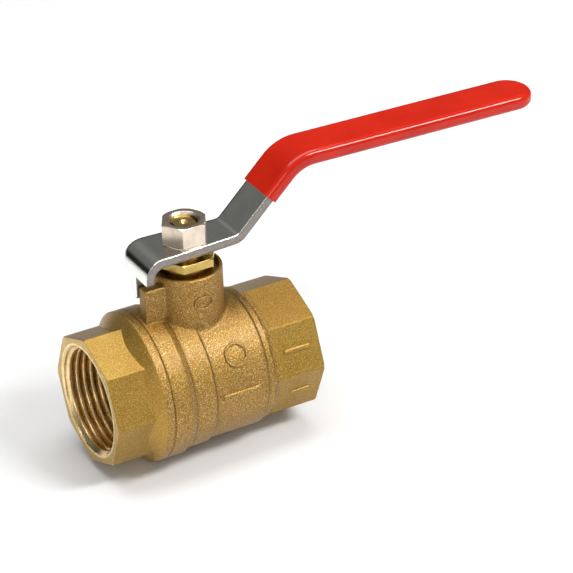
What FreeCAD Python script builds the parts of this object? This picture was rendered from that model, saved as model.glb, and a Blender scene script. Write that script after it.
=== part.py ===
import FreeCAD, Part
import math
import os

from FreeCAD import Vector

# Two-piece brass ball valve with 1 inch female pipe threads, shown open.
# Millimetres. +X is the direction of flow, +Z the stem axis, the origin is where the inlet's thread starts,
# on the flow axis. The lever points along +X when the valve is open and along -Y when it is shut.

# ---- overall sizes
END_TO_END = 66.0
OCTAGON_R = 19.8              # across the corners, halved
BOSS_TOP_Z = 34.3
LEVER_REACH = 114.0           # stem axis to the bare steel tip
HANDLE_Z = 60.0               # middle of the arm where it turns level
BALL_R = 17.5
BORE_SHARE = 0.657            # bore to ball diameter, full port
STEM_R = 4.5
SHEET = 2.5                   # lever steel

# ---- fits, all radial or per side
RUNNING_FIT = 0.06            # a piece that turns in another
SEAT_FIT = 0.02               # ball on its seats, O-ring in its bore
SLOT_FIT = 0.05               # stem tang in the ball's slot, each side
ASSEMBLY_FIT = 0.03           # pieces that stay still against each other
STOP_GAP = 0.08               # stop leg to stop lug at either end of the travel
LIFT_GAP = 0.1                # collar to washer

# ---- inlet and outlet pipe threads
THREAD_PITCH = 25.4 / 11.5
THREAD_MINOR_R = 14.9
THREAD_DEPTH = 1.45
THREAD_ROOT_FLAT = 0.1
THREAD_OVERCUT = 0.25         # the cutting profile starts this far inside the crests
MOUTH_CHAMFER = 1.4
THREAD_LENGTH = 11.9
UNDERCUT_WIDTH = 0.4
UNDERCUT_DEPTH = 0.5
PLAIN_LENGTH = 1.8
FACE_CHAMFER_R = 19.47        # circle left on the end faces by the corner chamfer

# ---- seats and cavity
LIP_CHAMFER = 0.5
SEAT_R_IN_STEP = 0.5          # outside the bore
SEAT_FACE = 1.7               # bore to where the ball leaves the seat's front face
SEAT_R_OUT_STEP = 1.9         # inside the ball's radius
SEAT_THICK = 3.7
SEAT_SETBACK = 1.1            # seat's front face behind the pocket's mouth
BALL_GAP = 0.7                # ball to cavity wall
SPIGOT_STEP = 0.25            # cavity wall to spigot thread
CAVITY_TAPER = 1.9
SLOT_WIDTH = 5.0
SLOT_DEPTH = 3.2
BALL_EDGE = 0.5

# ---- body and end cap outside
BARREL_WALL = 2.2             # outside the spigot's thread
COLLAR_WALL = 3.8
COLLAR_CONE_WIDTH = 3.8       # foot to top, along the flow
COLLAR_FLAT = 2.65            # joint to the top of the cone
COLLAR_CHAMFER = 2.0
COLLAR_SETBACK = 1.2          # collar's inner end to the end of the spigot's thread
BAND_WIDTH = 6.8              # raised band between collar and plain barrel
BAND_STEP = 0.65
CONE_STEP = 0.2               # cones' feet under the octagons' flats
BARREL_PAST_SEAT = 3.9
OUTLET_STEP = 0.8             # slope from the barrel down to the outlet's round neck
OUTLET_NECK = 3.3             # barrel's end to the octagon's flats
OUTLET_EDGE = 0.9             # slope from the neck down to the flats
JOINT_PAST_SEAT = 1.25
JOINT_EDGE = 0.3
SEAL_WIDTH = 1.2
SEAL_THICK = 1.15
BOSS_FILLET = 1.6
LUG_FILLET = 0.5
RIM_FILLET = 0.5

# ---- stem and what seals it
TANG_TIP_GAP = 0.15
STEM_COLLAR_LIFT = 0.9
STEM_COLLAR_HEIGHT = 2.2
STEM_COLLAR_STEP = 1.8
WASHER_THICK = 1.0
SHOULDER_LENGTH = 3.2
ORING_SECTION_R = 0.7
ORING_GROOVE_WIDTH = 1.9
PACKING_WALL = 2.1
PACKING_HEIGHT = 2.2
PACKING_VEE = 0.5
GLAND_THREAD_STEP = 0.95
GLAND_NOSE_SLACK = 0.1
GLAND_NOSE_LENGTH = 0.6
GLAND_HEX_STEP = 0.45         # flats outside the gland's thread
GLAND_HEX_FOOT_Z = 35.9
GLAND_HEX_HEIGHT = 2.6
RECESS_STEP = 1.35            # outside the gland's thread
RECESS_FLOOR_Z = 32.5
RIM_WALL = 1.45

# ---- lever, its nut and the stop
LEVER_FOOT_Z = 39.7
FLATS = 6.0                   # across the stem's flats
STEM_THREAD_R = 3.95
STEM_END_DROP = 0.9           # stem's end below the nut's top
STEM_END_CHAMFER = 0.5
CENTRE_MARK_R = 1.2
NUT_AF = 12.0
NUT_HEIGHT = 6.5
NUT_CHAMFER = 0.75
NUT_SINK = 0.6
TAIL_INSET = 0.45             # tail's outer face inside the joint, seen from above
TAIL_BEND_R = 4.6
NECK_BEND_X = 14.2
NECK_BEND_R = 3.6
ARM_BEND_R = 12.0
ARM_SLOPE = 44.0              # degrees
ARM_DROOP = 1.0               # degrees nose down
TAIL_HALF_WIDTH = 7.4
NECK_HALF_WIDTH = 6.05
ARM_HALF_WIDTH = 6.1
LEG_INNER_Y = -0.7
LEG_TIP_Y = 0.3
LEG_TOP_Y = 5.8
LEG_BOTTOM_Z = 28.4
LEG_SLANT_TOP_Z = 37.4
TAIL_EDGE_Z = 35.2
LUG_WIDTH = 4.1
LUG_INSET = 0.95              # lug's end inside the joint
LUG_TOP_Z = 32.0

# ---- grip
GRIP_COAT = 1.1
GRIP_START_X = 24.3
GRIP_ROUND = 1.9

# ---- derived places; x from the ball's centre, z from the flow axis
STEM_X = END_TO_END / 2 - MOUTH_CHAMFER
OCTAGON_FLAT_R = OCTAGON_R * math.cos(math.pi / 8)
THREAD_FLOOR_X = END_TO_END / 2 - MOUTH_CHAMFER - THREAD_LENGTH - UNDERCUT_WIDTH - PLAIN_LENGTH
FLOW_R = BORE_SHARE * BALL_R
SEAT_R_IN = FLOW_R + SEAT_R_IN_STEP
SEAT_LIP_R = FLOW_R + SEAT_FACE
SEAT_R_OUT = BALL_R - SEAT_R_OUT_STEP
SEAT_FRONT_X = math.sqrt(BALL_R ** 2 - SEAT_LIP_R ** 2)
SEAT_BACK_X = SEAT_FRONT_X + SEAT_THICK
SPIGOT_END_X = SEAT_FRONT_X - SEAT_SETBACK
CAVITY_R = BALL_R + BALL_GAP
SPIGOT_R = CAVITY_R + SPIGOT_STEP
SEAL_R_OUT = SPIGOT_R + SEAL_THICK
BARREL_R = SPIGOT_R + BARREL_WALL
COLLAR_R = SPIGOT_R + COLLAR_WALL
JOINT_X = SEAT_BACK_X + JOINT_PAST_SEAT
TAIL_X = JOINT_X - TAIL_INSET
LUG_END_R = JOINT_X - LUG_INSET
COLLAR_CONE_TOP_X = JOINT_X + COLLAR_FLAT
COLLAR_CONE_FOOT_X = COLLAR_CONE_TOP_X + COLLAR_CONE_WIDTH
COLLAR_END_X = SPIGOT_END_X - COLLAR_SETBACK
COLLAR_CHAMFER_X = COLLAR_END_X + COLLAR_CHAMFER
BAND_END_X = COLLAR_END_X - BAND_WIDTH
BARREL_END_X = SPIGOT_END_X + BARREL_PAST_SEAT
NECK_END_X = BARREL_END_X + OUTLET_NECK
SLOT_FLOOR_Z = BALL_R - SLOT_DEPTH
STEM_COLLAR_FOOT_Z = BALL_R + STEM_COLLAR_LIFT
STEM_COLLAR_TOP_Z = STEM_COLLAR_FOOT_Z + STEM_COLLAR_HEIGHT
SHOULDER_Z = STEM_COLLAR_TOP_Z + LIFT_GAP + WASHER_THICK
ORING_Z = SHOULDER_Z + SHOULDER_LENGTH / 2
PACKING_FLOOR_Z = SHOULDER_Z + SHOULDER_LENGTH
GLAND_NOSE_Z = PACKING_FLOOR_Z + 2 * PACKING_HEIGHT
STEM_BORE_R = STEM_R + RUNNING_FIT
STEM_COLLAR_R = STEM_R + STEM_COLLAR_STEP
PACKING_R = STEM_R + PACKING_WALL
GLAND_THREAD_R = PACKING_R + GLAND_THREAD_STEP
GLAND_NOSE_R = PACKING_R - GLAND_NOSE_SLACK
GLAND_HEX_AF = 2 * (GLAND_THREAD_R + GLAND_HEX_STEP)
RECESS_R = GLAND_THREAD_R + RECESS_STEP
BOSS_R = RECESS_R + RIM_WALL
SHEET_MID_Z = LEVER_FOOT_Z + SHEET / 2
LEVER_TOP_Z = LEVER_FOOT_Z + SHEET
NUT_TOP_Z = LEVER_TOP_Z + NUT_HEIGHT
STEM_TOP_Z = NUT_TOP_Z - STEM_END_DROP
FAR = 80.0                    # bigger than the valve, for cutting tools

X_AXIS = Vector(1, 0, 0)
Z_AXIS = Vector(0, 0, 1)
STEM_FOOT = Vector(STEM_X, 0, 0)


def turned_on_flow(points):
    """Solid of revolution about the flow axis from (x from the ball's centre, radius) points."""
    corners = [Vector(STEM_X + x, 0, r) for x, r in points]
    face = Part.Face(Part.makePolygon(corners + corners[:1]))
    return face.revolve(Vector(0, 0, 0), X_AXIS, 360)


def turned_on_stem(points):
    """Solid of revolution about the stem axis from (radius, z) points."""
    corners = [Vector(STEM_X + r, 0, z) for r, z in points]
    face = Part.Face(Part.makePolygon(corners + corners[:1]))
    return face.revolve(STEM_FOOT, Z_AXIS, 360)


def ring_on_stem(r_in, r_out, z0, z1):
    return turned_on_stem([(r_in, z0), (r_out, z0), (r_out, z1), (r_in, z1)])


def block(x0, x1, y0, y1, z0, z1):
    """Box with x measured from the stem axis."""
    return Part.makeBox(x1 - x0, y1 - y0, z1 - z0, Vector(STEM_X + x0, y0, z0))


def regular_prism(sides, corner_r, z0, z1, first_angle):
    """Prism standing on the stem axis."""
    corners = []
    for k in range(sides):
        a = math.radians(first_angle + 360.0 * k / sides)
        corners.append(Vector(STEM_X + corner_r * math.cos(a), corner_r * math.sin(a), z0))
    face = Part.Face(Part.makePolygon(corners + corners[:1]))
    return face.extrude(Vector(0, 0, z1 - z0))


def chamfered_hexagon(across_flats, z0, z1, chamfer, both_ends):
    """Hexagon head with its corners turned off; corners lie on the X axis."""
    corner_r = across_flats / 2 / math.cos(math.pi / 6)
    head = regular_prism(6, corner_r, z0, z1, 0)
    drop = chamfer * math.tan(math.radians(30))
    foot = [(0, z0), (corner_r, z0)]
    if both_ends:
        foot = [(0, z0), (corner_r - chamfer, z0), (corner_r, z0 + drop)]
    top = [(corner_r, z1 - drop), (corner_r - chamfer, z1), (0, z1)]
    return head.common(turned_on_stem(foot + top))


def octagon_end(x0, x1):
    """Octagonal wrench end with one corner up, from x0 to the end face at x1 (from the ball's centre)."""
    corners = []
    for k in range(8):
        a = math.pi / 4 * k
        corners.append(Vector(STEM_X + x0, OCTAGON_R * math.sin(a), OCTAGON_R * math.cos(a)))
    face = Part.Face(Part.makePolygon(corners + corners[:1]))
    prism = face.extrude(Vector(x1 - x0, 0, 0))
    side = math.copysign(1, x1 - x0)
    step = OCTAGON_R - FACE_CHAMFER_R + 1
    return prism.common(turned_on_flow([
        (x0, 0), (x0, OCTAGON_R + 1), (x1 - side * step, OCTAGON_R + 1), (x1, FACE_CHAMFER_R), (x1, 0)]))


def pipe_thread_tool(side):
    """Helical groove cutter for one port: side -1 is the inlet, +1 the outlet."""
    half_root = THREAD_ROOT_FLAT / 2
    half_mouth = half_root + (THREAD_DEPTH + THREAD_OVERCUT) * math.tan(math.radians(30))
    run = THREAD_LENGTH - half_mouth + MOUTH_CHAMFER + THREAD_PITCH
    r_in = THREAD_MINOR_R - THREAD_OVERCUT
    r_out = THREAD_MINOR_R + THREAD_DEPTH
    corners = [Vector(r_in, 0, -half_mouth), Vector(r_out, 0, -half_root),
               Vector(r_out, 0, half_root), Vector(r_in, 0, half_mouth)]
    profile = Part.makePolygon(corners + corners[:1])
    helix = Part.makeLongHelix(THREAD_PITCH, run, THREAD_MINOR_R)
    groove = Part.Wire(helix).makePipeShell([profile], True, True)
    groove.rotate(Vector(0, 0, 0), Vector(0, 1, 0), 90 * side)
    start = THREAD_FLOOR_X + PLAIN_LENGTH + UNDERCUT_WIDTH + half_mouth
    groove.translate(Vector(STEM_X + side * start, 0, 0))
    return groove


def port_hollow(side):
    """Everything cut from the seat pocket out to the end face on one side, before the thread."""
    face_x = END_TO_END / 2
    mouth_x = face_x - MOUTH_CHAMFER
    undercut_out = mouth_x - THREAD_LENGTH
    undercut_in = undercut_out - UNDERCUT_WIDTH
    undercut_r = THREAD_MINOR_R + UNDERCUT_DEPTH
    outline = [
        (SPIGOT_END_X - 1, 0), (SPIGOT_END_X - 1, SEAT_R_OUT + ASSEMBLY_FIT),
        (SEAT_BACK_X, SEAT_R_OUT + ASSEMBLY_FIT), (SEAT_BACK_X, FLOW_R),
        (THREAD_FLOOR_X - LIP_CHAMFER, FLOW_R), (THREAD_FLOOR_X, FLOW_R + LIP_CHAMFER),
        (THREAD_FLOOR_X, THREAD_MINOR_R), (undercut_in, THREAD_MINOR_R),
        (undercut_in, undercut_r), (undercut_out, undercut_r), (undercut_out, THREAD_MINOR_R),
        (mouth_x, THREAD_MINOR_R), (face_x + 1, THREAD_MINOR_R + MOUTH_CHAMFER + 1), (face_x + 1, 0)]
    return turned_on_flow([(side * x, r) for x, r in outline])


def edges_where(shape, test):
    return [e for e in shape.Edges if test(e)]


def make_body():
    """Forged body: collar, barrel, outlet octagon, stem boss and the two stop lugs."""
    outside = turned_on_flow([
        (-JOINT_X, 0), (-JOINT_X, COLLAR_R - JOINT_EDGE), (-JOINT_X + JOINT_EDGE, COLLAR_R),
        (-COLLAR_CHAMFER_X, COLLAR_R), (-COLLAR_END_X, BARREL_R + BAND_STEP),
        (-BAND_END_X - BAND_STEP, BARREL_R + BAND_STEP), (-BAND_END_X, BARREL_R), (BARREL_END_X, BARREL_R),
        (BARREL_END_X + OUTLET_STEP, OCTAGON_R), (NECK_END_X - OUTLET_EDGE, OCTAGON_R),
        (NECK_END_X, OCTAGON_FLAT_R - CONE_STEP), (NECK_END_X, 0)])
    outside = outside.fuse(octagon_end(BARREL_END_X - 2, END_TO_END / 2))
    outside = outside.fuse(make_boss_on_barrel())
    for lug in (open_stop_lug(), shut_stop_lug()):
        outside = outside.fuse(lug)
    inside = turned_on_flow([
        (-JOINT_X - 1, 0), (-JOINT_X - 1, SEAL_R_OUT), (-JOINT_X + SEAL_WIDTH, SEAL_R_OUT),
        (-JOINT_X + SEAL_WIDTH, SPIGOT_R + ASSEMBLY_FIT), (-SPIGOT_END_X, SPIGOT_R + ASSEMBLY_FIT),
        (-SPIGOT_END_X, CAVITY_R), (SPIGOT_END_X - CAVITY_TAPER, CAVITY_R),
        (SPIGOT_END_X, SEAT_R_OUT + ASSEMBLY_FIT), (SPIGOT_END_X, 0)])
    passage = turned_on_stem([
        (0, 0), (STEM_COLLAR_R + RUNNING_FIT, 0), (STEM_COLLAR_R + RUNNING_FIT, SHOULDER_Z),
        (STEM_BORE_R, SHOULDER_Z), (STEM_BORE_R, PACKING_FLOOR_Z), (PACKING_R, PACKING_FLOOR_Z),
        (PACKING_R, GLAND_NOSE_Z), (GLAND_THREAD_R, GLAND_NOSE_Z + GLAND_NOSE_LENGTH),
        (GLAND_THREAD_R, RECESS_FLOOR_Z), (RECESS_R, RECESS_FLOOR_Z),
        (RECESS_R + RIM_FILLET, BOSS_TOP_Z), (RECESS_R + RIM_FILLET, BOSS_TOP_Z + 1), (0, BOSS_TOP_Z + 1)])
    hollow = inside.fuse(passage).fuse(port_hollow(1))
    return outside.cut(hollow).cut(pipe_thread_tool(1))


def make_boss_on_barrel():
    """Stem boss blended into the stretch of plain barrel below it."""
    boss = Part.makeCylinder(BOSS_R, BOSS_TOP_Z, Vector(STEM_X, 0, 0))
    boss = boss.makeFillet(RIM_FILLET, edges_where(boss, lambda e: e.BoundBox.ZMin > BOSS_TOP_Z - RIM_FILLET))
    barrel = Part.makeCylinder(BARREL_R, 2 * BARREL_END_X, Vector(STEM_X - BARREL_END_X, 0, 0), X_AXIS)
    blend = barrel.fuse(boss)
    seam = edges_where(blend, lambda e: e.BoundBox.XMin > STEM_X - BOSS_R - 1 and e.BoundBox.ZMin > BOSS_R
                       and e.BoundBox.ZMax < BARREL_R + 1 and e.BoundBox.YLength > 1)
    return blend.makeFillet(BOSS_FILLET, seam)


def lug_block(x0, x1, y0, y1):
    lug = block(x0, x1, y0, y1, BALL_R + 1, LUG_TOP_Z)
    return lug.makeFillet(LUG_FILLET, edges_where(lug, lambda e: e.BoundBox.ZMax > LUG_TOP_Z - 0.01))


def open_stop_lug():
    """Lug behind the stem that the tail's leg rests against when the valve is open."""
    side = LEG_INNER_Y - STOP_GAP
    return lug_block(-LUG_END_R, -BOSS_R / 2, side - LUG_WIDTH, side)


def shut_stop_lug():
    """Lug a quarter turn on, met by the leg's slanted edge at the height of the lug's top."""
    rise = (LUG_TOP_Z - LEG_BOTTOM_Z) / (LEG_SLANT_TOP_Z - LEG_BOTTOM_Z)
    side = LEG_TIP_Y + rise * (LEG_TOP_Y - LEG_TIP_Y) + STOP_GAP
    return lug_block(side, side + LUG_WIDTH, BOSS_R / 2, LUG_END_R)


def make_end_cap():
    """Inlet end piece: octagon, coned collar and the spigot that screws into the body."""
    outside = turned_on_flow([
        (-COLLAR_CONE_FOOT_X, 0), (-COLLAR_CONE_FOOT_X, OCTAGON_FLAT_R - CONE_STEP),
        (-COLLAR_CONE_TOP_X, COLLAR_R), (-JOINT_X - JOINT_EDGE, COLLAR_R), (-JOINT_X, COLLAR_R - JOINT_EDGE),
        (-JOINT_X, SPIGOT_R), (-SPIGOT_END_X, SPIGOT_R), (-SPIGOT_END_X, 0)])
    outside = outside.fuse(octagon_end(-COLLAR_CONE_TOP_X + 1, -END_TO_END / 2))
    return outside.cut(port_hollow(-1)).cut(pipe_thread_tool(-1))


def make_end_cap_seal():
    return turned_on_flow([(-JOINT_X, SPIGOT_R), (-JOINT_X, SEAL_R_OUT),
                           (-JOINT_X + SEAL_WIDTH, SEAL_R_OUT), (-JOINT_X + SEAL_WIDTH, SPIGOT_R)])


def make_ball():
    """Ball with the full bore along X and the stem slot across its top."""
    ball = Part.makeSphere(BALL_R, STEM_FOOT)
    ball = ball.cut(Part.makeCylinder(FLOW_R, FAR, Vector(STEM_X - FAR / 2, 0, 0), X_AXIS))
    ball = ball.makeChamfer(BALL_EDGE, edges_where(ball, lambda e: e.BoundBox.XLength < 0.01))
    half = SLOT_WIDTH / 2
    return ball.cut(block(-half, half, -FAR, FAR, SLOT_FLOOR_Z, FAR))


def make_seat_ring(side):
    """PTFE ring with a spherical lip that bears on the ball."""
    ring = turned_on_flow([(side * SEAT_FRONT_X, SEAT_R_IN), (side * SEAT_FRONT_X, SEAT_R_OUT),
                           (side * SEAT_BACK_X, SEAT_R_OUT), (side * SEAT_BACK_X, SEAT_R_IN)])
    return ring.cut(Part.makeSphere(BALL_R + SEAT_FIT, STEM_FOOT))


def make_stem():
    """Brass stem: tang, blow-out-proof collar, O-ring groove, flats and threaded end."""
    tang_foot = SLOT_FLOOR_Z + TANG_TIP_GAP
    groove_r = STEM_BORE_R - SEAT_FIT - 2 * ORING_SECTION_R
    groove_foot, groove_top = ORING_Z - ORING_GROOVE_WIDTH / 2, ORING_Z + ORING_GROOVE_WIDTH / 2
    shank = turned_on_stem([
        (0, tang_foot), (STEM_COLLAR_R, tang_foot), (STEM_COLLAR_R, STEM_COLLAR_TOP_Z),
        (STEM_R, STEM_COLLAR_TOP_Z), (STEM_R, groove_foot), (groove_r, groove_foot),
        (groove_r, groove_top), (STEM_R, groove_top),
        (STEM_R, LEVER_FOOT_Z), (STEM_THREAD_R, LEVER_FOOT_Z), (STEM_THREAD_R, STEM_TOP_Z - STEM_END_CHAMFER),
        (STEM_THREAD_R - STEM_END_CHAMFER, STEM_TOP_Z), (CENTRE_MARK_R, STEM_TOP_Z),
        (0, STEM_TOP_Z - CENTRE_MARK_R)])
    tang = SLOT_WIDTH / 2 - SLOT_FIT
    for x0, x1 in ((-FAR, -tang), (tang, FAR)):
        shank = shank.cut(block(x0, x1, -FAR, FAR, 0, STEM_COLLAR_FOOT_Z))
    for x0, x1 in ((-FAR, -FLATS / 2), (FLATS / 2, FAR)):
        shank = shank.cut(block(x0, x1, -FAR, FAR, LEVER_FOOT_Z, FAR))
    return shank


def make_stem_oring():
    centre_r = STEM_BORE_R - SEAT_FIT - ORING_SECTION_R
    return Part.makeTorus(centre_r, ORING_SECTION_R, Vector(STEM_X, 0, ORING_Z), Z_AXIS)


def make_thrust_washer():
    return ring_on_stem(STEM_BORE_R, STEM_COLLAR_R, SHOULDER_Z - WASHER_THICK, SHOULDER_Z)


def make_packing_ring(index):
    """One of two PTFE rings; the lower one is dished and the upper one fills the dish."""
    z0 = PACKING_FLOOR_Z + index * PACKING_HEIGHT
    z1 = z0 + PACKING_HEIGHT
    mid_r = (STEM_BORE_R + PACKING_R) / 2
    foot = [(STEM_BORE_R, z0), (mid_r, z0 - index * PACKING_VEE), (PACKING_R, z0)]
    top = [(PACKING_R, z1), (mid_r, z1 - (1 - index) * PACKING_VEE), (STEM_BORE_R, z1)]
    return turned_on_stem(foot + top)


def make_gland_nut():
    """Hexagon nut that presses on the packing."""
    hexagon_top = GLAND_HEX_FOOT_Z + GLAND_HEX_HEIGHT
    head = chamfered_hexagon(GLAND_HEX_AF, GLAND_HEX_FOOT_Z, hexagon_top, NUT_CHAMFER, False)
    shank = turned_on_stem([
        (0, GLAND_NOSE_Z), (GLAND_NOSE_R, GLAND_NOSE_Z),
        (GLAND_THREAD_R - ASSEMBLY_FIT, GLAND_NOSE_Z + GLAND_NOSE_LENGTH + ASSEMBLY_FIT),
        (GLAND_THREAD_R - ASSEMBLY_FIT, GLAND_HEX_FOOT_Z), (0, GLAND_HEX_FOOT_Z)])
    bore = Part.makeCylinder(STEM_BORE_R, FAR, STEM_FOOT, Z_AXIS)
    return head.fuse(shank).cut(bore).removeSplitter()


def strip_side(points, radii, half_thick):
    """Side view face of a bent strip: points are its middle line (x from the stem axis, z)."""
    flat = [Vector(STEM_X + x, 0, z) for x, z in points]
    runs = [(b - a).normalize() for a, b in zip(flat, flat[1:])]

    def offset_edges(side):
        shift = side * half_thick
        normal = [Vector(-d.z, 0, d.x) * shift for d in runs]
        edges = []
        start = flat[0] + normal[0]
        for k, radius in enumerate(radii):
            before, after, corner = runs[k], runs[k + 1], flat[k + 1]
            turn = before.x * after.z - before.z * after.x
            reach = radius * math.tan(before.getAngle(after) / 2)
            tangent_in, tangent_out = corner - before * reach, corner + after * reach
            to_centre = Vector(-before.z, 0, before.x) * math.copysign(radius, turn)
            centre = tangent_in + to_centre
            arm = radius - math.copysign(half_thick, turn * side)
            middle = centre + (corner - centre).normalize() * arm
            arc_in, arc_out = tangent_in + normal[k], tangent_out + normal[k + 1]
            edges.append(Part.makeLine(start, arc_in))
            edges.append(Part.Arc(arc_in, middle, arc_out).toShape())
            start = arc_out
        end = flat[-1] + normal[-1]
        edges.append(Part.makeLine(start, end))
        return edges, flat[0] + normal[0], end

    left, left_start, left_end = offset_edges(1)
    right, right_start, right_end = offset_edges(-1)
    wire = Part.Wire(Part.__sortEdges__(
        left + right + [Part.makeLine(left_end, right_end), Part.makeLine(left_start, right_start)]))
    return Part.Face(wire)


def arm_points():
    """Corners of the middle line from the neck bend to the tip."""
    corner_x = NECK_BEND_X + (HANDLE_Z - SHEET_MID_Z) / math.tan(math.radians(ARM_SLOPE))
    tip_z = HANDLE_Z - (LEVER_REACH - corner_x) * math.tan(math.radians(ARM_DROOP))
    return [(corner_x, HANDLE_Z), (LEVER_REACH, tip_z)]


def round_tip_outline(points, half_width, tip_x):
    """Plan outline: points along the +Y side, mirrored, closed by a half circle at the tip."""
    centre_x = tip_x - half_width
    one_side = [Vector(STEM_X + x, y, 0) for x, y in points] + [Vector(STEM_X + centre_x, half_width, 0)]
    other_side = [Vector(p.x, -p.y, 0) for p in reversed(one_side)]
    tip = Part.Arc(one_side[-1], Vector(STEM_X + tip_x, 0, 0), other_side[0]).toShape()
    lines = [Part.makeLine(a, b) for a, b in zip(one_side, one_side[1:])]
    lines += [Part.makeLine(a, b) for a, b in zip(other_side, other_side[1:])]
    lines.append(Part.makeLine(other_side[-1], one_side[0]))
    return Part.Face(Part.Wire(Part.__sortEdges__(lines + [tip]))).extrude(Vector(0, 0, FAR))


def make_lever():
    """Steel strip: tail tab with its stop leg, flat neck on the stem, cranked arm."""
    tail_mid = -TAIL_X + SHEET / 2
    path = [(tail_mid, LEG_BOTTOM_Z), (tail_mid, SHEET_MID_Z), (NECK_BEND_X, SHEET_MID_Z)] + arm_points()
    strip = strip_side(path, [TAIL_BEND_R, NECK_BEND_R, ARM_BEND_R], SHEET / 2)
    strip = strip.extrude(Vector(0, FAR, 0))
    strip.translate(Vector(0, -FAR / 2, 0))
    plan = round_tip_outline([
        (-TAIL_X - 1, TAIL_HALF_WIDTH), (-TAIL_X / 2, TAIL_HALF_WIDTH), (NECK_BEND_X, NECK_HALF_WIDTH),
        (GRIP_START_X, NECK_HALF_WIDTH), (arm_points()[0][0], ARM_HALF_WIDTH)], ARM_HALF_WIDTH, LEVER_REACH)
    end_view = [(-TAIL_HALF_WIDTH - 1, FAR), (-TAIL_HALF_WIDTH - 1, TAIL_EDGE_Z), (LEG_INNER_Y, TAIL_EDGE_Z),
                (LEG_INNER_Y, LEG_BOTTOM_Z), (LEG_TIP_Y, LEG_BOTTOM_Z), (LEG_TOP_Y, LEG_SLANT_TOP_Z),
                (TAIL_HALF_WIDTH + 1, SHEET_MID_Z), (TAIL_HALF_WIDTH + 1, FAR)]
    corners = [Vector(STEM_X - FAR, y, z) for y, z in end_view]
    tab = Part.Face(Part.makePolygon(corners + corners[:1])).extrude(Vector(4 * FAR, 0, 0))
    hole = Part.makeCylinder(STEM_THREAD_R + ASSEMBLY_FIT, FAR, STEM_FOOT, Z_AXIS)
    half = FLATS / 2 + ASSEMBLY_FIT
    hole = hole.common(block(-half, half, -FAR, FAR, 0, FAR))
    return strip.common(plan).common(tab).cut(hole)


def make_grip(lever):
    """Dipped vinyl sleeve over the arm, rounded all along its edges."""
    start_z = SHEET_MID_Z + (GRIP_START_X - NECK_BEND_X) * math.tan(math.radians(ARM_SLOPE))
    bend, tip = arm_points()
    tip_x = tip[0] + GRIP_COAT
    tip_z = tip[1] - GRIP_COAT * math.tan(math.radians(ARM_DROOP))
    half_thick = SHEET / 2 + GRIP_COAT
    half_width = ARM_HALF_WIDTH + GRIP_COAT
    sleeve = strip_side([(GRIP_START_X, start_z), bend, (tip_x + 1, tip_z)], [ARM_BEND_R], half_thick)
    sleeve = sleeve.extrude(Vector(0, FAR, 0))
    sleeve.translate(Vector(0, -FAR / 2, 0))
    plan = round_tip_outline([(GRIP_START_X - FAR / 8, half_width)], half_width, tip_x)
    sleeve = sleeve.common(plan).Solids[0]
    mouth_x = STEM_X + GRIP_START_X + half_thick
    long_edges = edges_where(sleeve, lambda e: e.BoundBox.XLength > 2 * half_thick
                             or (e.BoundBox.XLength > 0.01 and e.BoundBox.XMax > mouth_x))
    return sleeve.makeFillet(GRIP_ROUND, long_edges).cut(lever)


def make_lever_nut():
    """Hexagon nut on the stem's threaded end."""
    head = chamfered_hexagon(NUT_AF, LEVER_TOP_Z, NUT_TOP_Z, NUT_CHAMFER, True)
    bore_r = STEM_THREAD_R + ASSEMBLY_FIT
    sunk_r = bore_r + NUT_SINK
    bore = turned_on_stem([(0, 0), (bore_r, 0), (bore_r, NUT_TOP_Z - NUT_SINK), (sunk_r, NUT_TOP_Z),
                           (sunk_r, FAR), (0, FAR)])
    return head.cut(bore)


def main():
    os.makedirs("parts", exist_ok=True)
    lever = make_lever()
    nodes = {
        "body": make_body(),
        "end_cap": make_end_cap(),
        "end_cap_seal": make_end_cap_seal(),
        "ball": make_ball(),
        "seat_ring_inlet": make_seat_ring(-1),
        "seat_ring_outlet": make_seat_ring(1),
        "stem": make_stem(),
        "stem_oring": make_stem_oring(),
        "stem_thrust_washer": make_thrust_washer(),
        "packing_ring_lower": make_packing_ring(0),
        "packing_ring_upper": make_packing_ring(1),
        "gland_nut": make_gland_nut(),
        "lever": lever,
        "grip": make_grip(lever),
        "lever_nut": make_lever_nut(),
    }
    for name, shape in nodes.items():
        if len(shape.Solids) != 1:
            print("WARNING", name, "has", len(shape.Solids), "solids")
        solid = shape.Solids[0]
        print(name, "valid", solid.isValid(), "volume", round(solid.Volume, 1))
        solid.exportStep(f"parts/{name}.step")


main()
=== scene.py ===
import math

import bmesh
import bpy
from mathutils import Matrix, Vector


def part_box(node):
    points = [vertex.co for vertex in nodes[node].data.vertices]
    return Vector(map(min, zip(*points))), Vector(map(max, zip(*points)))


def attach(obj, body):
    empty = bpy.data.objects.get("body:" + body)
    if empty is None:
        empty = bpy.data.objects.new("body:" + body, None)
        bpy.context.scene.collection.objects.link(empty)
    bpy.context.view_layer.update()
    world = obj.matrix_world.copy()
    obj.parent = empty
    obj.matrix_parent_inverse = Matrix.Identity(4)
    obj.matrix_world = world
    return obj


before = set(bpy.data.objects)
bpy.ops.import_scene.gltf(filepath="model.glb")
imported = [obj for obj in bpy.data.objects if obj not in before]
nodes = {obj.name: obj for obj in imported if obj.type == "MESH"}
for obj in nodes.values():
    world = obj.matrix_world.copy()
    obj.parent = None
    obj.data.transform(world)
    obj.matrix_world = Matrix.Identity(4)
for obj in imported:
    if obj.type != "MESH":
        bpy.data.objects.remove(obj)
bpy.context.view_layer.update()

# ---- Body
# Hot-forged brass, shot-blasted all over and then machined where it seals, screws or seats.
# The blasted skin is golden tan with painted glints as pale specks; the octagon flats are finer and a
# little olive.


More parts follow.
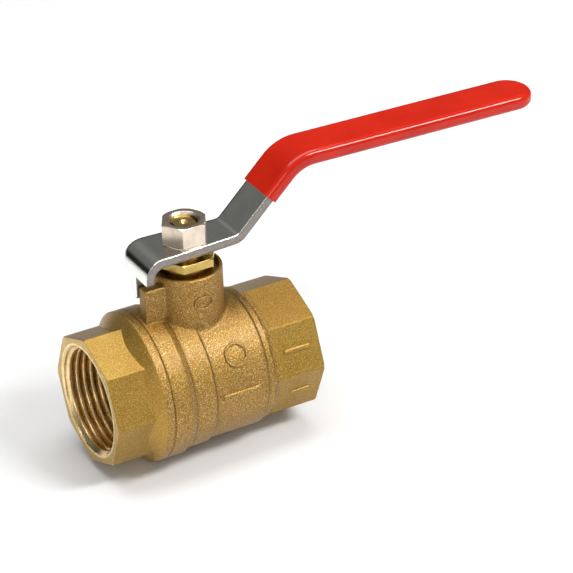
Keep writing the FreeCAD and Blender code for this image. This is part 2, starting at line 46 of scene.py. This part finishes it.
class Field:
    """One socket of a material's nodes, with Python's arithmetic on it."""

    def __init__(self, finish, socket):
        self.finish = finish
        self.socket = socket

    def math(self, operation, *values):
        return self.finish.node("ShaderNodeMath", dict(enumerate(values)), operation=operation)

    def __add__(self, other):
        return self.math("ADD", self, other)

    def __radd__(self, other):
        return self.math("ADD", other, self)

    def __sub__(self, other):
        return self.math("SUBTRACT", self, other)

    def __rsub__(self, other):
        return self.math("SUBTRACT", other, self)

    def __mul__(self, other):
        return self.math("MULTIPLY", self, other)

    def __rmul__(self, other):
        return self.math("MULTIPLY", other, self)

    def __truediv__(self, other):
        return self.math("DIVIDE", self, other)

    def __rtruediv__(self, other):
        return self.math("DIVIDE", other, self)

    def __pow__(self, other):
        return self.math("POWER", self, other)

    def __abs__(self):
        return self.math("ABSOLUTE", self)

    def ramp(self, low, high):
        """0 at low, 1 at high, eased in between; low may be the larger."""
        if low > high:
            return 1 - self.ramp(high, low)
        return self.finish.node("ShaderNodeMapRange", {"Value": self, "From Min": low, "From Max": high},
                                interpolation_type="SMOOTHSTEP")


class Nodes:
    """Adds nodes to one tree and joins them up."""

    def __init__(self, tree):
        self.tree = tree

    def node(self, kind, inputs=None, output=0, **settings):
        node = self.tree.nodes.new(kind)
        for name, value in settings.items():
            setattr(node, name, value)
        for name, value in (inputs or {}).items():
            self.join(value, node.inputs[name])
        return Field(self, node.outputs[output])

    def join(self, value, socket):
        if isinstance(value, Field):
            self.tree.links.new(value.socket, socket)
        else:
            socket.default_value = value

    def split(self, vector):
        node = self.node("ShaderNodeSeparateXYZ", {0: vector}).socket.node
        return [Field(self, socket) for socket in node.outputs]


class Finish(Nodes):
    """A material made of procedural nodes around one Principled surface."""

    def __init__(self, name):
        self.material = bpy.data.materials.new(name)
        self.material.use_nodes = True
        super().__init__(self.material.node_tree)
        self.surface = self.tree.nodes["Principled BSDF"]
        self.place = self.node("ShaderNodeTexCoord", output="Object")
        self.x, self.y, self.z = self.split(self.place)
        normal = self.node("ShaderNodeTexCoord", output="Normal")
        self.facing = [abs(part) for part in self.split(normal)]

    def noise(self, size, detail=2.0, stretch=(1, 1, 1)):
        """Noise between 0 and 1 with features about size metres across, longer along a stretched axis."""
        scale = [1 / (size * s) for s in stretch]
        scaled = self.node("ShaderNodeVectorMath", {0: self.place, 1: scale}, operation="MULTIPLY")
        return self.node("ShaderNodeTexNoise", {"Vector": scaled, "Scale": 1.0, "Detail": detail})

    def mix(self, share, a, b):
        """Colour a where share is 0, b where it is 1."""
        a, b = [c if isinstance(c, Field) else (*c, 1.0) for c in (a, b)]
        return self.node("ShaderNodeMix", {"Factor": share, 6: a, 7: b}, output=2, data_type="RGBA")

    def bump(self, height, depth, normal=None):
        inputs = {"Height": height, "Distance": depth}
        if normal:
            inputs["Normal"] = normal
        return self.node("ShaderNodeBump", inputs)

    def soften(self, radius):
        """Normal that rounds the edges over that many metres."""
        return self.node("ShaderNodeBevel", {"Radius": radius}, samples=6)

    def shade(self, **values):
        for name, value in values.items():
            self.join(value, self.surface.inputs[name.replace("_", " ")])

    def wear(self, *objects):
        for obj in objects:
            obj.data.materials.clear()
            obj.data.materials.append(self.material)


stem_x = 0.0316          # inlet thread's start to the stem axis
face_x = 0.0330          # stem axis to either end face
flats_x = 0.0185         # stem axis to where the octagons begin
thread_r = 0.0170        # clear of the thread's roots
bore_x = 0.0120          # stem axis to where the inside starts to look cut
thread_depth = 0.0016    # end face to where the thread is in shadow
root_r = 0.0163          # bottom of the thread's grooves
crease_width = 0.0007
crease_r = 0.0228        # just outside the collar, so that the boss above has none
creases = [-0.0092, -0.0024, 0.0143, 0.0176]     # from the stem axis: collar, band, barrel, neck


def forged(name, creased):
    """Blasted skin, finer on the octagon flats, cut bare on the end faces and inside the ports.
    Where it is creased, painted shade darkens the narrow grooves round it."""
    finish = Finish(name)
    radius = (finish.y ** 2 + finish.z ** 2) ** 0.5
    from_stem = abs(finish.x - stem_x)
    end_face = from_stem.ramp(face_x - 0.0008, face_x - 0.0004) * finish.facing[0].ramp(0.6, 0.9)
    bore = radius.ramp(thread_r, thread_r - 0.0003) * from_stem.ramp(bore_x, bore_x + 0.002)
    cut = finish.node("ShaderNodeMath", {0: end_face, 1: bore}, operation="MAXIMUM")
    past_collar = from_stem.ramp(flats_x, flats_x + 0.0008) * (1 - cut)
    flats = past_collar * finish.facing[0].ramp(0.4, 0.1)
    cone = past_collar * finish.facing[0].ramp(0.5, 0.7)
    grain = finish.noise(0.00034, 2.0)
    pits_and_glints = finish.noise(0.00026, 1.0)
    cloud = finish.noise(0.006, 3.0)
    tan = finish.mix(grain.ramp(0.34, 0.66), (0.20, 0.100, 0.009), (0.41, 0.232, 0.035))
    olive = finish.mix(grain.ramp(0.34, 0.66), (0.25, 0.142, 0.014), (0.41, 0.250, 0.035))
    skin = finish.mix(flats, tan, olive)
    skin = finish.mix(cloud.ramp(0.35, 0.70) * 0.30, skin, (0.28, 0.13, 0.018))
    # Painted glints: pale specks from the same noise that pits the bump, fewer on the flats.
    skin = finish.mix(pits_and_glints.ramp(0.54, 0.68) * (0.50 - 0.25 * flats), skin, (0.96, 0.78, 0.42))
    if creased:
        for crease in creases:
            # Painted shade: a dark brown line along each crease, kept off the boss.
            crease_shade = abs(finish.x - (stem_x + crease)).ramp(crease_width, 0.0)
            crease_shade = crease_shade * radius.ramp(crease_r + 0.0008, crease_r)
            skin = finish.mix(crease_shade * (0.5 - 0.5 * cut), skin, (0.14, 0.062, 0.008))
    rings = finish.noise(0.0004, 2.0, (0.4, 2, 2))
    bare = finish.mix(rings.ramp(0.3, 0.7), (0.42, 0.26, 0.055), (0.62, 0.42, 0.13))
    streaks = finish.noise(0.0008, 2.0, (1, 3, 3))
    thread = finish.mix(streaks.ramp(0.3, 0.7), (0.88, 0.62, 0.27), (0.98, 0.78, 0.44))
    inside = from_stem.ramp(face_x - 0.4 * thread_depth, face_x - thread_depth)
    # Painted shade: the thread's roots go dark brown deeper inside the port.
    root_shade = radius.ramp(root_r - 0.0009, root_r) * inside
    thread = finish.mix(root_shade * 0.85, thread, (0.20, 0.080, 0.016))
    # Painted glow: the cone's colour is lifted towards a bright warm orange.
    skin = finish.mix(cone * 0.4, skin, (0.62, 0.36, 0.050))
    skin = finish.mix(end_face, skin, bare)
    skin = finish.mix(bore, skin, thread)
    height = (grain * 0.6 + pits_and_glints * 0.4) * (1 - 0.92 * cut) * (1 - 0.35 * flats)
    rough = 0.42 + 0.05 * flats - 0.04 * cone - 0.14 * cut + 0.12 * (grain - 0.5)
    finish.shade(Base_Color=skin, Metallic=1.0, Roughness=rough,
                 Coat_Weight=0.35 * (1 - cut), Coat_Roughness=0.40,
                 Normal=finish.bump(height, 0.00030, finish.soften(0.0005)))
    return finish


body_brass = forged("forged_body_brass", True)
body_brass.wear(nodes["body"])

# ---- Raised marks
# A plain ring, a plain oval and three plain bars, about half a millimetre proud of the barrel, the boss and
# the outlet flats and forged with the body. They are blank and stand where such a valve is marked.
mark_height = 0.00055
barrel_r = 0.02065
boss_r = 0.01035
octagon_flat_r = 0.01829
ridge_section = [(1.0, -0.4), (0.9, 0.35), (0.7, 0.8), (0.35, 1.0), (0.0, 1.0)]


def on_barrel(x, angle):
    """Lays a mark on the barrel, x from the stem axis and angle in degrees from the top, towards -Y."""
    def lay(u, v, height):
        turn = math.radians(angle) + v / barrel_r
        r = barrel_r + height
        return (stem_x + x + u, -r * math.sin(turn), r * math.cos(turn))
    return lay


def on_boss(z):
    def lay(u, v, height):
        turn = u / boss_r
        r = boss_r + height
        return (stem_x + r * math.sin(turn), -r * math.cos(turn), z - v)
    return lay


def on_flat(x, angle):
    """Lays a mark on the outlet flat that faces that many degrees from the top."""
    facing = Vector((0, -math.sin(math.radians(angle)), math.cos(math.radians(angle))))
    down = Vector((0, -facing.z, facing.y))
    def lay(u, v, height):
        return Vector((stem_x + x + u, 0, 0)) + v * down + (octagon_flat_r + height) * facing
    return lay


def mark(name, loops, lay):
    """One raised mark: loops of (u, v, height) points joined in turn and laid on the skin."""
    mesh = bpy.data.meshes.new(name)
    count = len(loops[0])
    points = [lay(*point) for loop in loops for point in loop]
    faces = []
    for k in range(len(loops) - 1):
        for i in range(count):
            j = (i + 1) % count
            faces.append((k * count + i, k * count + j, (k + 1) * count + j, (k + 1) * count + i))
    mesh.from_pydata(points, [], faces)
    shape = bmesh.new()
    shape.from_mesh(mesh)
    bmesh.ops.remove_doubles(shape, verts=shape.verts, dist=1e-7)
    bmesh.ops.recalc_face_normals(shape, faces=shape.faces)
    shape.to_mesh(mesh)
    shape.free()
    mesh.polygons.foreach_set("use_smooth", [True] * len(mesh.polygons))
    mesh.materials.append(body_brass.material)
    obj = bpy.data.objects.new(name, mesh)
    bpy.context.scene.collection.objects.link(obj)
    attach(obj, "valve_body")


def ring(name, lay, half_length, half_height, half_width):
    """Oval ring of a rounded section."""
    section = ridge_section + [(-w, h) for w, h in reversed(ridge_section[:-1])]
    loops = []
    for w, h in section:
        a, b = half_length + w * half_width, half_height + w * half_width
        turns = [math.tau * i / 48 for i in range(48)]
        loops.append([(a * math.cos(t), b * math.sin(t), h * mark_height) for t in turns])
    mark(name, loops, lay)


def bar(name, lay, length, half_width):
    """Straight bar with round ends."""
    loops = []
    for w, h in ridge_section:
        loop = []
        for i in range(48):
            t = math.tau * (i + 0.5) / 48
            end = math.copysign(length / 2 - half_width, math.cos(t))
            loop.append((end + w * half_width * math.cos(t), w * half_width * math.sin(t), h * mark_height))
        loops.append(loop)
    mark(name, loops, lay)


ring("mark_boss_oval", on_boss(0.0268), 0.0028, 0.0018, 0.00040)
ring("mark_barrel_ring", on_barrel(0.0058, 56), 0.0032, 0.0032, 0.00055)
bar("mark_barrel_bar", on_barrel(0.0056, 88), 0.0130, 0.0011)
bar("mark_outlet_upper_bar", on_flat(0.0256, 67.5), 0.0090, 0.0009)
bar("mark_outlet_lower_bar", on_flat(0.0262, 112.5), 0.0070, 0.0009)

# ---- End cap
# The inlet end, forged and blasted like the body and screwed into it against the cap seal.
# The cone between its octagon and its collar is a little smoother than the flats and has a painted warm
# glow.
forged("forged_cap_brass", False).wear(nodes["end_cap"])

# ---- Ball, seats, cap seal and stem packing
# Chrome-plated brass ball between two PTFE seat rings, PTFE washer and packing, one rubber O-ring.
# They are pressed or laid in place before the cap and the gland nut close them in.


def plastic(name, pale, deep, rough):
    finish = Finish(name)
    cloud = finish.noise(0.003, 3.0)
    finish.shade(Base_Color=finish.mix(cloud.ramp(0.3, 0.7), deep, pale), Roughness=rough + 0.1 * cloud,
                 Normal=finish.bump(finish.noise(0.0003), 0.00002))
    return finish


def plated(name, bright, dull, rough, edge=0.0003):
    finish = Finish(name)
    cloud = finish.noise(0.004, 3.0)
    fine = finish.noise(0.0002, 2.0)
    finish.shade(Base_Color=finish.mix(cloud.ramp(0.35, 0.65), bright, dull), Metallic=1.0,
                 Roughness=rough + 0.06 * (cloud - 0.5) + 0.04 * (fine - 0.5),
                 Normal=finish.bump(fine, 0.000006, finish.soften(edge)))
    return finish


plated("ball_plating", (0.80, 0.80, 0.79), (0.70, 0.70, 0.69), 0.10).wear(nodes["ball"])
ptfe = plastic("ptfe_white", (0.86, 0.86, 0.83), (0.76, 0.76, 0.73), 0.45)
ptfe.wear(nodes["seat_ring_inlet"], nodes["seat_ring_outlet"], nodes["end_cap_seal"],
          nodes["stem_thrust_washer"], nodes["packing_ring_lower"], nodes["packing_ring_upper"])
plastic("oring_black", (0.035, 0.035, 0.035), (0.02, 0.02, 0.02), 0.5).wear(nodes["stem_oring"])

# ---- Stem and gland nut
# Turned from yellow brass bar. The gland nut screws into the boss over the packing;
# the stem's flats and thread come up through it to carry the lever.


def turned_brass(name, bright, dull):
    finish = Finish(name)
    rings = finish.noise(0.00025, 2.0, (6, 6, 0.6))
    cloud = finish.noise(0.003, 2.0)
    finish.shade(Base_Color=finish.mix(cloud.ramp(0.3, 0.7), bright, dull), Metallic=1.0,
                 Roughness=0.20 + 0.12 * (rings - 0.3),
                 Normal=finish.bump(rings, 0.00001, finish.soften(0.00025)))
    return finish


turned_brass("stem_brass_turned", (0.80, 0.60, 0.22), (0.66, 0.46, 0.15)).wear(nodes["stem"])
turned_brass("gland_brass_turned", (0.56, 0.41, 0.13), (0.45, 0.31, 0.085)).wear(nodes["gland_nut"])

# ---- Lever
# Blanked from steel strip, bent to shape, then nickel and chrome plated. The broad faces are mirrors;
# the sheared edges stay matt and slightly pink where the plating follows the torn steel.


def lever_plating():
    finish = Finish("lever_plating")
    sheared = finish.facing[1].ramp(0.70, 0.92)
    cloud = finish.noise(0.006, 3.0)
    tear = finish.noise(0.0006, 3.0, (1, 1, 1))
    faces = finish.mix(cloud.ramp(0.3, 0.7), (0.93, 0.95, 0.89), (0.84, 0.86, 0.80))
    edges = finish.mix(tear.ramp(0.3, 0.7), (0.30, 0.27, 0.25), (0.22, 0.195, 0.18))
    finish.shade(Base_Color=finish.mix(sheared, faces, edges), Metallic=1.0,
                 Roughness=0.13 + 0.05 * (cloud - 0.5) + sheared * (0.24 + 0.15 * (tear - 0.5)),
                 Normal=finish.bump(tear * sheared + cloud * 0.02, 0.00006, finish.soften(0.0010)))
    return finish


lever_plating().wear(nodes["lever"])

# ---- Grip
# Red vinyl, put on by dipping the warm lever. It is glossy, about a millimetre thick
# and faintly uneven.


def dipped_vinyl():
    finish = Finish("grip_vinyl_red")
    cloud = finish.noise(0.012, 2.0)
    peel = finish.noise(0.0018, 2.0)
    finish.shade(Base_Color=finish.mix(cloud.ramp(0.3, 0.7), (0.47, 0.012, 0.0015), (0.42, 0.009, 0.001)),
                 Roughness=0.10 + 0.05 * (cloud - 0.5), Specular_IOR_Level=0.35,
                 Normal=finish.bump(peel, 0.000005))
    return finish


dipped_vinyl().wear(nodes["grip"])

# ---- Lever nut
# Nickel-plated steel hexagon nut, chamfered top and bottom, that clamps the lever down on the stem.
plated("nut_nickel_plating", (0.76, 0.65, 0.54), (0.66, 0.55, 0.45), 0.28).wear(nodes["lever_nut"])

# ---- Floor, lights and camera
# A plain pale floor, soft lights above, front right and left, and pale walls with a dark gap low
# behind the valve that the plated faces mirror. None of it belongs to the valve.


def pale_floor(z, half_width):
    """Flat square at that height, matt and nearly white."""
    material = bpy.data.materials.new("floor_white")
    material.use_nodes = True
    surface = material.node_tree.nodes["Principled BSDF"]
    surface.inputs["Base Color"].default_value = (0.76, 0.765, 0.77, 1.0)
    surface.inputs["Roughness"].default_value = 0.9
    mesh = bpy.data.meshes.new("floor")
    w = half_width
    mesh.from_pydata([(-w, -w, 0), (w, -w, 0), (w, w, 0), (-w, w, 0)], [], [(0, 1, 2, 3)])
    mesh.materials.append(material)
    obj = bpy.data.objects.new("floor", mesh)
    obj.location = (0, 0, z)
    bpy.context.scene.collection.objects.link(obj)


pale_floor(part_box("end_cap")[0][2], 4.0)
valve = Vector((0.06, 0, 0.01))


def soft_light(name, middle, length, width, power):
    """Soft box aimed at the valve, its length along X."""
    lamp = bpy.data.lights.new(name, "AREA")
    lamp.shape = "RECTANGLE"
    lamp.size, lamp.size_y = length, width
    lamp.energy = power
    obj = bpy.data.objects.new(name, lamp)
    away = (Vector(middle) - valve).normalized()
    along = (Vector((1, 0, 0)) - away.x * away).normalized()
    turned = Matrix((along, away.cross(along), away)).transposed().to_4x4()
    obj.matrix_world = Matrix.Translation(middle) @ turned
    bpy.context.scene.collection.objects.link(obj)


soft_light("overhead", (0.05, 0.12, 0.85), 0.9, 0.5, 5.6)
soft_light("strip", (0.50, -0.52, 0.78), 0.46, 0.20, 8.2)
soft_light("side", (-0.60, -0.75, 0.45), 0.5, 0.4, 2.5)


def studio_walls():
    """Pale grey walls all round, with a dark gap along the foot of the one behind the valve."""
    world = bpy.data.worlds.new("studio")
    bpy.context.scene.world = world
    world.use_nodes = True
    walls = Nodes(world.node_tree)
    x, y, z = walls.split(walls.node("ShaderNodeTexCoord", output="Generated"))
    gap = y.ramp(0.30, 0.60) * abs(z).ramp(0.40, 0.20)
    light = 0.14 + 0.30 * z.ramp(0.5, 0.9) + 0.22 * y.ramp(0.3, -0.5)
    walls.join(light * (1 - 0.93 * gap), world.node_tree.nodes["Background"].inputs["Strength"])
    world.node_tree.nodes["Background"].inputs["Color"].default_value = (1.0, 0.99, 0.96, 1.0)


studio_walls()
bpy.context.scene.view_settings.view_transform = "Standard"

azimuth, elevation, roll = math.radians(29.094), math.radians(29.763), math.radians(-1.575)
distance = 0.73171
aim = Vector((0.06371, 0, 0.01723))
back = Vector((-math.sin(azimuth) * math.cos(elevation), -math.cos(azimuth) * math.cos(elevation),
               math.sin(elevation)))
level = Vector((math.cos(azimuth), -math.sin(azimuth), 0))
upward = back.cross(level)
across = math.cos(roll) * level + math.sin(roll) * upward
upright = back.cross(across)
camera = bpy.data.objects.new("camera", bpy.data.cameras.new("camera"))
bpy.context.scene.collection.objects.link(camera)
turned = Matrix((across, upright, back)).transposed().to_4x4()
camera.matrix_world = Matrix.Translation(aim + distance * back) @ turned
camera.data.lens = 159.0
camera.data.sensor_width = 36.0
camera.data.clip_start = 0.01
bpy.context.scene.camera = camera
